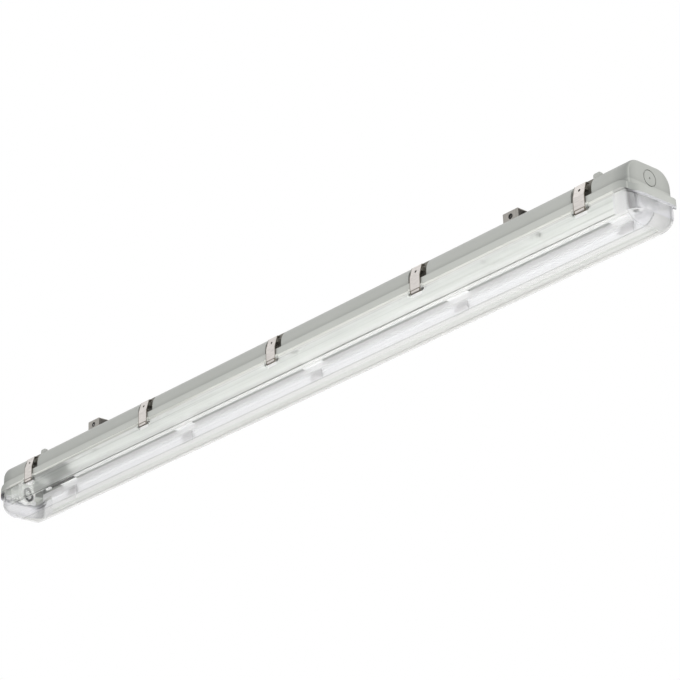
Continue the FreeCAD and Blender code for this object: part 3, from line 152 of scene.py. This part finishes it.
class Material:
    """A node material that starts from one Principled shader with constants on its sockets."""

    def __init__(self, name, color, roughness=0.5, metallic=0.0, **sockets):
        self.material = bpy.data.materials.new(name)
        self.material.use_nodes = True
        self.tree = self.material.node_tree
        self.shader = self.tree.nodes["Principled BSDF"]
        self.output = self.tree.nodes["Material Output"]
        self.shader.inputs["Base Color"].default_value = (*color, 1)
        self.shader.inputs["Roughness"].default_value = roughness
        self.shader.inputs["Metallic"].default_value = metallic
        for socket, value in sockets.items():
            self.shader.inputs[socket.replace("_", " ")].default_value = value

    def node(self, kind, **settings):
        """A new node with its attributes or input sockets set."""
        made = self.tree.nodes.new(kind)
        for name, value in settings.items():
            if hasattr(made, name):
                setattr(made, name, value)
            else:
                made.inputs[name.replace("_", " ")].default_value = value
        return made

    def link(self, source, target):
        self.tree.links.new(source, target)

    def set(self, socket, value):
        """A socket linked to another, or set to a number or a colour."""
        if isinstance(value, bpy.types.NodeSocket):
            self.link(value, socket)
        elif isinstance(value, tuple):
            socket.default_value = (*value, 1)
        else:
            socket.default_value = value

    def place(self, scale=(1, 1, 1)):
        """Object coordinates, scaled."""
        coordinates = self.node("ShaderNodeTexCoord")
        mapping = self.node("ShaderNodeMapping")
        mapping.inputs["Scale"].default_value = scale
        self.link(coordinates.outputs["Object"], mapping.inputs["Vector"])
        return mapping.outputs["Vector"]

    def axes(self):
        """Object coordinates along, across and up."""
        split = self.node("ShaderNodeSeparateXYZ")
        self.link(self.place(), split.inputs["Vector"])
        return split.outputs

    def noise(self, scale, detail=4.0, stretch=(1, 1, 1)):
        made = self.node("ShaderNodeTexNoise", Scale=scale, Detail=detail)
        self.link(self.place(stretch), made.inputs["Vector"])
        return made.outputs["Fac"]

    def bump(self, factor, strength, distance):
        made = self.node("ShaderNodeBump", Strength=strength, Distance=distance)
        self.link(factor, made.inputs["Height"])
        self.link(made.outputs["Normal"], self.shader.inputs["Normal"])

    def grain(self, kind):
        """Raised grain of one of the kinds above."""
        scale, strength, distance = kind
        self.bump(self.noise(scale, 2.0), strength, distance)

    def maths(self, operation, source, other=None):
        """A value taken through one Math node, with a number or a second value."""
        made = self.node("ShaderNodeMath", operation=operation)
        self.link(source, made.inputs[0])
        if other is not None:
            self.set(made.inputs[1], other)
        return made.outputs["Value"]

    def size_of(self, source):
        """A coordinate without its sign."""
        return self.maths("ABSOLUTE", source)

    def under(self, source, limit):
        """One where a coordinate is under a limit, nought elsewhere."""
        return self.maths("LESS_THAN", source, limit)

    def over(self, source, limit):
        """One where a coordinate is over a limit, nought elsewhere."""
        return self.maths("GREATER_THAN", source, limit)

    def choose(self, test, off, on):
        """A number that is off where a test is nought and on where it is one."""
        return self.spread(test, 0.0, 1.0, off, on)

    def all_of(self, *tests):
        """Tests multiplied together."""
        return reduce(lambda total, test: self.maths("MULTIPLY", total, test), tests)

    def any_of(self, *tests):
        """The highest of the tests."""
        return reduce(lambda total, test: self.maths("MAXIMUM", total, test), tests)

    def from_clip(self, along):
        """Distance along the light from the nearest clip's middle."""
        return self.maths("PINGPONG", along, CLIP_PITCH / 2)

    def reach(self, first, second):
        """Distance from the point where two coordinates are nought."""
        joined = self.node("ShaderNodeCombineXYZ")
        self.link(first, joined.inputs["X"])
        self.link(second, joined.inputs["Y"])
        length = self.node("ShaderNodeVectorMath", operation="LENGTH")
        self.link(joined.outputs["Vector"], length.inputs[0])
        return length.outputs["Value"]

    def spread(self, source, low, high, first=0.0, last=1.0, way="LINEAR"):
        """A coordinate brought from low..high to first..last."""
        ranged = self.node("ShaderNodeMapRange", interpolation_type=way)
        for socket, value in zip(("From Min", "From Max", "To Min", "To Max"), (low, high, first, last)):
            ranged.inputs[socket].default_value = value
        self.link(source, ranged.inputs["Value"])
        return ranged.outputs["Result"]

    def tones(self, factor, stops):
        """Colour along a factor, from (place, colour) stops."""
        ramp = self.node("ShaderNodeValToRGB")
        first, last = ramp.color_ramp.elements
        for element, (place, color) in ((first, stops[0]), (last, stops[-1])):
            element.position = place
            element.color = (*color, 1)
        for place, color in stops[1:-1]:
            ramp.color_ramp.elements.new(place).color = (*color, 1)
        self.link(factor, ramp.inputs["Fac"])
        return ramp.outputs["Color"]

    def blend(self, factor, off, on, way="MIX"):
        """A colour that is off where the factor is nought and on where it is one."""
        mixed = self.node("ShaderNodeMix", data_type="RGBA", blend_type=way)
        self.set(mixed.inputs["Factor"], factor)
        self.set(mixed.inputs[MIX_OFF], off)
        self.set(mixed.inputs[MIX_ON], on)
        return mixed.outputs[MIX_RESULT]

    def product(self, *colors):
        """Colours multiplied together."""
        return reduce(lambda total, color: self.blend(1.0, total, color, "MULTIPLY"), colors)

    def layer(self, factor, off, on):
        """A shader that is off where the factor is nought and on where it is one."""
        mixed = self.node("ShaderNodeMixShader")
        self.set(mixed.inputs["Fac"], factor)
        self.link(off, mixed.inputs[1])
        self.link(on, mixed.inputs[2])
        return mixed.outputs["Shader"]


def moulded(name, color, cloudiness, roughness):
    """Moulded plastic: faint cloudy tone and a fine satin grain."""
    made = Material(name, color, roughness)
    cloud = made.tones(made.noise(CLOUDS), [
        (NOISE_LOW, scaled(color, 1 - cloudiness)), (NOISE_HIGH, scaled(color, 1 + cloudiness)),
    ])
    made.link(cloud, made.shader.inputs["Base Color"])
    made.grain(SATIN)
    return made.material


def rolled(name, color, roughness, stretch, dark=None, marks_and_shade=None, metallic=1.0):
    """Rolled or drawn metal: fine streaks along the strip vary its tone, roughness and surface.

    It is dark where shade is painted, such as on a hole's rim or along a folded edge, and on its own
    dark parts, such as a lampholder rotor's ring.
    """
    made = Material(name, color, roughness, metallic)
    streaks = made.noise(STREAKS, 6.0, stretch)
    body = made.tones(streaks, [
        (NOISE_LOW, scaled(color, STREAK_DARK)), (NOISE_HIGH, scaled(color, STREAK_PALE)),
    ])
    if marks_and_shade:
        body = made.blend(marks_and_shade(made), body, dark)
    made.link(body, made.shader.inputs["Base Color"])
    made.link(made.choose(streaks, roughness * STREAK_SHINY, roughness * STREAK_DULL),
              made.shader.inputs["Roughness"])
    made.bump(streaks, *STREAK_RELIEF)
    return made.material


def enamel(name, color, dark=None, marks_and_shade=None):
    """White enamelled sheet: near-even tone with slight orange-peel waves, dark where shade is painted."""
    made = Material(name, color, 0.32)
    body = made.tones(made.noise(ENAMEL_CLOUDS), [(NOISE_LOW, scaled(color, 0.97)), (NOISE_HIGH, color)])
    if marks_and_shade:
        body = made.blend(marks_and_shade(made), body, dark)
    made.link(body, made.shader.inputs["Base Color"])
    made.grain(ORANGE_PEEL)
    return made.material


def clip_edge_shade(made):
    """Painted shade along the long edges of a clip's strip, and round the outline of its rolled foot."""
    along, across, height = made.axes()
    aside = made.from_clip(along)
    outline = made.any_of(made.over(aside, CLIP_FOOT_EDGE), made.over(height, CLIP_FOOT_TOP),
                          made.under(height, CLIP_FOOT_BOTTOM))
    foot = made.all_of(made.under(height, CLIP_FOOT_START), made.over(made.size_of(across), CLIP_FOOT_HALF),
                       outline)
    return made.any_of(made.over(aside, CLIP_EDGE), foot)


def pin_end_shade(made):
    """Painted shade on the outer side of the two ends of each clip's pin."""
    along, across, _ = made.axes()
    return made.all_of(made.over(made.from_clip(along), PIN_END), made.over(made.size_of(across), PIN_HALF))


def leg_hole_shade(made):
    """Painted shade on the rim of the hole in a bracket's leg and on the inner sides of the legs."""
    along, across, height = made.axes()
    from_line = made.size_of(across)
    aside = made.maths("SUBTRACT", made.size_of(along), BRACKET_PLACE)
    hole = made.under(made.reach(aside, made.maths("SUBTRACT", height, HOLE_HEIGHT)), HOLE_RIM)
    inner = made.all_of(made.under(from_line, LEG_HALF), made.under(height, LEG_TOP),
                        made.over(from_line, TOP_HALF))
    return made.any_of(hole, inner)


def rotor_ring(made):
    """The dark ring of a lampholder's rotor, round its pale hub."""
    _, across, height = made.axes()
    reach = made.reach(across, made.maths("SUBTRACT", height, ROTOR_HEIGHT))
    return made.all_of(made.over(reach, RING_INNER), made.under(reach, RING_OUTER))


def service_window_shade(made):
    """Painted shade on the end of the tray round its service window."""
    along, _, _ = made.axes()
    return made.all_of(made.over(along, WINDOW_START), made.under(along, WINDOW_END))


CLOUD_TONES = [(NOISE_LOW, (0.465, 0.477, 0.443)), (NOISE_HIGH, (0.487, 0.498, 0.465))]
# Painted highlight that makes the shell's rim paler, and a painted shade line just above the rim
RIM_LIGHT_AND_SHADE_TONES = [
    (0.0, (1.12, 1.12, 1.12)), (0.12, (1.1, 1.1, 1.1)), (0.2, (0.9, 0.9, 0.9)), (0.6, (0.98, 0.98, 0.98)),
    (1.0, (0.98, 0.98, 0.98)),
]
# Painted shade on the shell's sides, darkest just before the upright corners of the ends
FLANK_SHADE_TONES = [
    (0.0, WHITE), (0.55, (0.92, 0.92, 0.92)), (0.94, (0.6, 0.61, 0.61)), (0.975, (0.95, 0.95, 0.95)),
    (1.0, (0.95, 0.95, 0.95)),
]
# Painted shade across the shell's end faces, darker towards their sides
FACE_SHADE_TONES = [(0.0, WHITE), (0.55, (0.9, 0.9, 0.9)), (1.0, (0.66, 0.67, 0.67))]
# Painted shade on the inside of the body
INSIDE_SHADE_TONE = (0.06, 0.06, 0.05)
# Painted shade in the clip pockets
POCKET_SHADE_TONE = (0.21, 0.2, 0.17)
LEDGE_TONE = (0.85, 0.85, 0.85)


def shell_grey(name):
    """Moulded grey shell: cloudy tone and satin grain, a painted highlight that makes the rim paler, and
    painted shade that darkens the sides towards the ends and the end faces towards their edges.

    Painted shade dims the clip pockets and the inside of the body, and the ledge round the tray is pale.
    """
    made = Material(name, (0.5, 0.51, 0.48), 0.42)
    along, across, height = made.axes()
    from_middle = made.size_of(along)
    from_line = made.size_of(across)
    # Painted shade across the end faces
    face = made.tones(made.spread(from_line, FACE_HALF, FACE_EDGE), FACE_SHADE_TONES)
    outside = made.product(
        made.tones(made.noise(CLOUDS), CLOUD_TONES),
        made.tones(made.spread(height, RIM_TONE_FOOT, RIM_TONE_TOP), RIM_LIGHT_AND_SHADE_TONES),
        made.tones(made.spread(from_middle, FLANK_START, FLANK_END), FLANK_SHADE_TONES),
        made.blend(made.under(from_middle, BODY_END - END_SKIN), face, WHITE))
    # Painted shade on the inside of the body
    inside = made.all_of(made.under(from_line, INSIDE_HALF), made.under(from_middle, INSIDE_END),
                         made.under(height, INSIDE_TOP))
    # Painted shade in the clip pockets
    pocket = made.all_of(made.under(from_line, POCKET_HALF), made.under(made.from_clip(along), POCKET_REACH),
                         made.under(height, POCKET_TOP), made.over(height, POCKET_FOOT))
    level = made.all_of(made.under(from_middle, INSIDE_END), made.under(height, LEDGE_TOP))
    dipped = made.all_of(made.under(from_middle, DIPPED_END), made.under(from_line, DIPPED_HALF),
                         made.under(height, LEDGE_TOP - DIP_DROP))
    ledge = made.all_of(made.under(from_line, LEDGE_HALF), made.any_of(level, dipped))
    tone = made.blend(inside, outside, INSIDE_SHADE_TONE)
    tone = made.blend(pocket, tone, POCKET_SHADE_TONE)
    tone = made.blend(ledge, tone, LEDGE_TONE)
    made.link(tone, made.shader.inputs["Base Color"])
    made.grain(SATIN)
    return made.material


# Tones of the cover, painted light and shade: up its ribbed side and up its smooth ends, both from
# the ribs' foot to the parting line, then across its underside, and along it towards the ends

RIB_LIGHT_AND_SHADE_TONES = [
    (0.0, (0.22, 0.23, 0.21)), (0.028, (0.22, 0.23, 0.21)), (0.05, (0.78, 0.79, 0.77)),
    (0.12, (0.82, 0.83, 0.81)), (0.3, (0.8, 0.83, 0.79)), (0.62, (0.74, 0.77, 0.73)),
    (0.84, (0.82, 0.83, 0.8)), (0.87, (0.62, 0.62, 0.58)), (0.9, (1.0, 1.0, 0.95)), (1.0, (0.97, 0.97, 0.92)),
]
SMOOTH_LIGHT_AND_SHADE_TONES = [
    (0.0, (0.84, 0.84, 0.86)), (0.6, (0.85, 0.85, 0.86)), (0.84, (0.8, 0.81, 0.79)),
    (0.87, (0.64, 0.64, 0.6)), (0.9, (1.0, 1.0, 0.96)), (1.0, (0.98, 0.98, 0.94)),
]
FINE_TONES = [(0.36, (0.72, 0.73, 0.71)), (0.5, (0.98, 0.99, 0.98)), (1.0, WHITE)]
UNDERSIDE_LIGHT_AND_SHADE_TONES = [
    (0.0, (0.85, 0.85, 0.85)), (0.1, (0.87, 0.87, 0.87)), (0.19, (0.9, 0.9, 0.92)),
    (0.3, (0.96, 0.96, 0.985)), (0.385, (0.88, 0.88, 0.89)), (0.405, (0.36, 0.36, 0.36)),
    (0.425, (0.85, 0.85, 0.83)), (0.6, (0.85, 0.85, 0.82)), (1.0, (0.85, 0.85, 0.82)),
]
# Painted shade that darkens the cover towards its ends, darkest in a band down the rounded upright corners
CORNER_SHADE_TONES = [
    (0.0, WHITE), (0.07, (0.76, 0.76, 0.76)), (0.5, (0.72, 0.72, 0.72)), (0.6, (0.2, 0.2, 0.2)),
    (0.78, (0.34, 0.34, 0.35)), (0.91, (0.93, 0.93, 0.94)), (1.0, (0.93, 0.93, 0.94)),
]
# Painted shade that darkens the cover's underside towards its ends
HEEL_SHADE_TONES = [(0.0, WHITE), (0.4, (0.86, 0.86, 0.87)), (1.0, (0.76, 0.76, 0.77))]


def clear(name):
    """Clear moulded cover: refracting plastic with a thin milky veil, frosted where it is ribbed.

    Painted shade draws a dark line along the ribs' foot, painted light and shade draw bright and
    lavender bands along the underside, and painted shade draws a grey band down the rounded upright
    corners. Light takes the tone once, where it enters a wall.
    """
    made = Material(name, (0.97, 0.975, 0.98), CLEAR_ROUGHNESS, Transmission_Weight=1.0, IOR=1.12,
                    Coat_Weight=0.5, Coat_Roughness=0.04)
    made.grain(WAVES)
    along, across, height = made.axes()
    from_middle = made.size_of(along)
    way_out = made.node("ShaderNodeNewGeometry").outputs["Backfacing"]
    underside = made.under(height, RIB_FOOT)
    ribbed = made.all_of(made.under(along, RIB_END), made.over(along, RIB_START), made.over(height, RIB_FOOT))
    lining = made.all_of(made.under(made.size_of(across), LINING_HALF), made.over(height, LINING_FOOT),
                         made.under(from_middle, RIB_END))

    up_side = made.spread(height, RIB_FOOT, PARTING)
    fine = made.tones(made.noise(FINE_LINES, 1.0, (0.008, 0.008, 1)), FINE_TONES)
    side = made.blend(made.spread(from_middle, RIB_END - RIB_FADE, RIB_END),
                      made.product(made.tones(up_side, RIB_LIGHT_AND_SHADE_TONES), fine), made.tones(up_side, SMOOTH_LIGHT_AND_SHADE_TONES))
    corner_shade = made.tones(made.spread(from_middle, CORNER_SHADE_START, COVER_END), CORNER_SHADE_TONES)
    below = made.tones(made.spread(across, -COVER_HALF, COVER_HALF), UNDERSIDE_LIGHT_AND_SHADE_TONES)
    heel_shade = made.tones(made.spread(from_middle, HEEL_START, COVER_END), HEEL_SHADE_TONES)
    # Painted light and shade of the cover's side and underside
    bands = made.blend(underside, made.product(side, corner_shade), made.product(below, heel_shade))
    tone = made.blend(made.any_of(way_out, lining), bands, WHITE)
    made.link(tone, made.shader.inputs["Base Color"])
    made.link(made.choose(ribbed, CLEAR_ROUGHNESS, RIBBED_ROUGHNESS), made.shader.inputs["Roughness"])

    rung = made.spread(made.maths("PINGPONG", height, RUNG_PITCH / 2), RUNG_EDGE, RUNG_PITCH / 2)
    flange_foot = made.spread(from_middle, DIP_START, DIP_END, FLANGE_FOOT, FLANGE_FOOT - DIP_DROP,
                              "SMOOTHSTEP")
    flange = made.over(height, flange_foot)
    milky = made.all_of(underside, made.spread(along, MILK_START, MILK_END))
    veiled = made.any_of(made.choose(flange, VEIL["bare"], VEIL["flange"]),
                         made.choose(made.all_of(ribbed, rung), 0.0, VEIL["rungs"]),
                         made.choose(lining, 0.0, VEIL["lining"]),
                         made.spread(along, HEEL_START, FROST_END, 0.0, VEIL["frost"]),
                         made.choose(milky, 0.0, VEIL["milk"]))
    front = made.node("ShaderNodeBsdfDiffuse")
    made.link(tone, front.inputs["Color"])
    back = made.node("ShaderNodeBsdfTranslucent")
    made.link(tone, back.inputs["Color"])
    veil = made.layer(VEIL_THROUGH, front.outputs["BSDF"], back.outputs["BSDF"])
    way_in = made.choose(way_out, 1.0, 0.0)
    wall = made.layer(made.all_of(veiled, way_in), made.shader.outputs["BSDF"], veil)

    rays = made.node("ShaderNodeLightPath")
    open_way = made.node("ShaderNodeBsdfTransparent", Color=(*PASSING_LIGHT, 1))
    made.link(made.layer(rays.outputs["Is Shadow Ray"], wall, open_way.outputs["BSDF"]),
              made.output.inputs["Surface"])
    return made.material


looks = {
    "shell": shell_grey("shell_grey"),
    "seal": moulded("seal_dark", (0.1, 0.1, 0.1), 0.1, 0.75),
    "clear_cover": clear("cover_clear"),
    "stainless": rolled("clip_stainless", (0.68, 0.645, 0.615), 0.34, (1, 1, 14),
                        (0.2, 0.18, 0.15), clip_edge_shade),
    "rail_steel": rolled("rail_stainless", (0.36, 0.345, 0.32), 0.36, (12, 1, 1),
                         (0.025, 0.025, 0.025), leg_hole_shade),
    "zinc": rolled("screw_zinc", (0.62, 0.62, 0.62), 0.35, (1, 1, 1)),
    "white_tray": enamel("tray_enamel", (0.8, 0.8, 0.785), (0.035, 0.034, 0.026), service_window_shade),
    "white_plastic": moulded("plastic_white", (0.82, 0.82, 0.8), 0.02, 0.4),
    "dark_plastic": moulded("plastic_dark", (0.05, 0.05, 0.05), 0.1, 0.45),
    "blue_plastic": moulded("plastic_blue", (0.03, 0.1, 0.4), 0.08, 0.45),
    "green_plastic": moulded("plastic_green", (0.12, 0.34, 0.06), 0.08, 0.45),
    "contact_brass": rolled("contact_brass", (0.76, 0.56, 0.24), 0.3, (1, 1, 6)),
    "gear_case": enamel("gear_case_white", (0.78, 0.78, 0.78)),
    "lead_jacket": moulded("lead_white", (0.8, 0.8, 0.8), 0.02, 0.4),
}

rotor_look = rolled("rotor_white", (0.7, 0.7, 0.69), 0.4, (1, 1, 1), (0.015, 0.015, 0.015), rotor_ring, 0.0)
own_looks = {
    "rotor_left": rotor_look,
    "rotor_right": rotor_look,
    "clip_pins": rolled("pin_stainless", (0.6, 0.57, 0.54), 0.34, (14, 1, 1),
                        (0.03, 0.028, 0.022), pin_end_shade),
}
slot_of = {part["node"]: part["material_slot"] for part in frame["record"]["subparts"]}
for name, node in frame["nodes"].items():
    node.data.materials.clear()
    node.data.materials.append(own_looks.get(name) or looks[slot_of[name]])

# Camera, solved from the five evenly spaced clips of the near side

CAMERA_PLACE = (2.69336, -2.33831, -1.58813)
CAMERA_RIGHT = (0.66129, 0.74955, -0.02931)
CAMERA_UP = (0.31927, -0.24589, 0.91521)
CAMERA_FORWARD = (-0.67879, 0.61458, 0.40192)
CAMERA_LENS = 126.743
SENSOR_WIDTH = 36.0
NEAREST = 0.05
FARTHEST = 100.0

camera_data = bpy.data.cameras.new("camera")
camera_data.lens = CAMERA_LENS
camera_data.sensor_width = SENSOR_WIDTH
camera_data.clip_start = NEAREST
camera_data.clip_end = FARTHEST
camera = bpy.data.objects.new("camera", camera_data)
camera.location = CAMERA_PLACE
camera_axes = Matrix((CAMERA_RIGHT, CAMERA_UP, [-part for part in CAMERA_FORWARD])).transposed()
camera.rotation_mode = "QUATERNION"
camera.rotation_quaternion = camera_axes.to_quaternion()
bpy.context.scene.collection.objects.link(camera)
bpy.context.scene.camera = camera

# Light and surroundings


def area_light(name, place, target, size, power, mirrored=False):
    """A square soft light at a place, turned to a target, that glossy surfaces may mirror."""
    data = bpy.data.lights.new(name, "AREA")
    data.shape = "SQUARE"
    data.size = size
    data.energy = power
    light = bpy.data.objects.new(name, data)
    light.location = place
    light.rotation_mode = "QUATERNION"
    light.rotation_quaternion = (Vector(target) - Vector(place)).to_track_quat("-Z", "Y")
    light.visible_glossy = mirrored
    bpy.context.scene.collection.objects.link(light)


MIDDLE = (0, 0, 0)
area_light("light_right", (4.0, -0.6, 0.6), (0.4, 0, 0), 2.0, 52.0)
area_light("light_front", (0.6, -1.8, -2.0), MIDDLE, 2.4, 28.0)
area_light("light_below", (0.2, -0.3, -2.3), MIDDLE, 2.4, 34.0)
area_light("light_top", (0.0, -1.0, 2.6), MIDDLE, 2.4, 8.0, mirrored=True)

# A studio that lights evenly in pale grey, and is white where it is seen, mirrored or looked at
# through the cover

FILL_TONE = (0.62, 0.62, 0.63)

world = bpy.data.worlds.new("studio")
bpy.context.scene.world = world
world.use_nodes = True
sky = world.node_tree
background = sky.nodes["Background"]
rays = sky.nodes.new("ShaderNodeLightPath")
seen = rays.outputs["Is Camera Ray"]
for kind in ("Is Glossy Ray", "Is Transmission Ray"):
    either = sky.nodes.new("ShaderNodeMath")
    either.operation = "MAXIMUM"
    sky.links.new(seen, either.inputs[0])
    sky.links.new(rays.outputs[kind], either.inputs[1])
    seen = either.outputs["Value"]
tone = sky.nodes.new("ShaderNodeMix")
tone.data_type = "RGBA"
tone.inputs[MIX_OFF].default_value = (*FILL_TONE, 1)
tone.inputs[MIX_ON].default_value = (*WHITE, 1)
sky.links.new(seen, tone.inputs["Factor"])
sky.links.new(tone.outputs[MIX_RESULT], background.inputs["Color"])
background.inputs["Strength"].default_value = 1.0

# A pale floor far below, which views from underneath look through

FLOOR_HEIGHT = -2.4
FLOOR_HALF = 9.0

corners = [(x * FLOOR_HALF, y * FLOOR_HALF, FLOOR_HEIGHT) for x, y in ((-1, -1), (1, -1), (1, 1), (-1, 1))]
floor_mesh = bpy.data.meshes.new("floor")
floor_mesh.from_pydata(corners, [], [(0, 1, 2, 3)])
floor = bpy.data.objects.new("floor", floor_mesh)
bpy.context.scene.collection.objects.link(floor)
floor_look = Material("floor_pale", (0.8, 0.8, 0.8), 0.9)
from_below = floor_look.node("ShaderNodeNewGeometry").outputs["Backfacing"]
through = floor_look.node("ShaderNodeBsdfTransparent").outputs["BSDF"]
floor_look.link(floor_look.layer(from_below, floor_look.shader.outputs["BSDF"], through),
                floor_look.output.inputs["Surface"])
floor_mesh.materials.append(floor_look.material)

bpy.context.scene.view_settings.view_transform = "Standard"
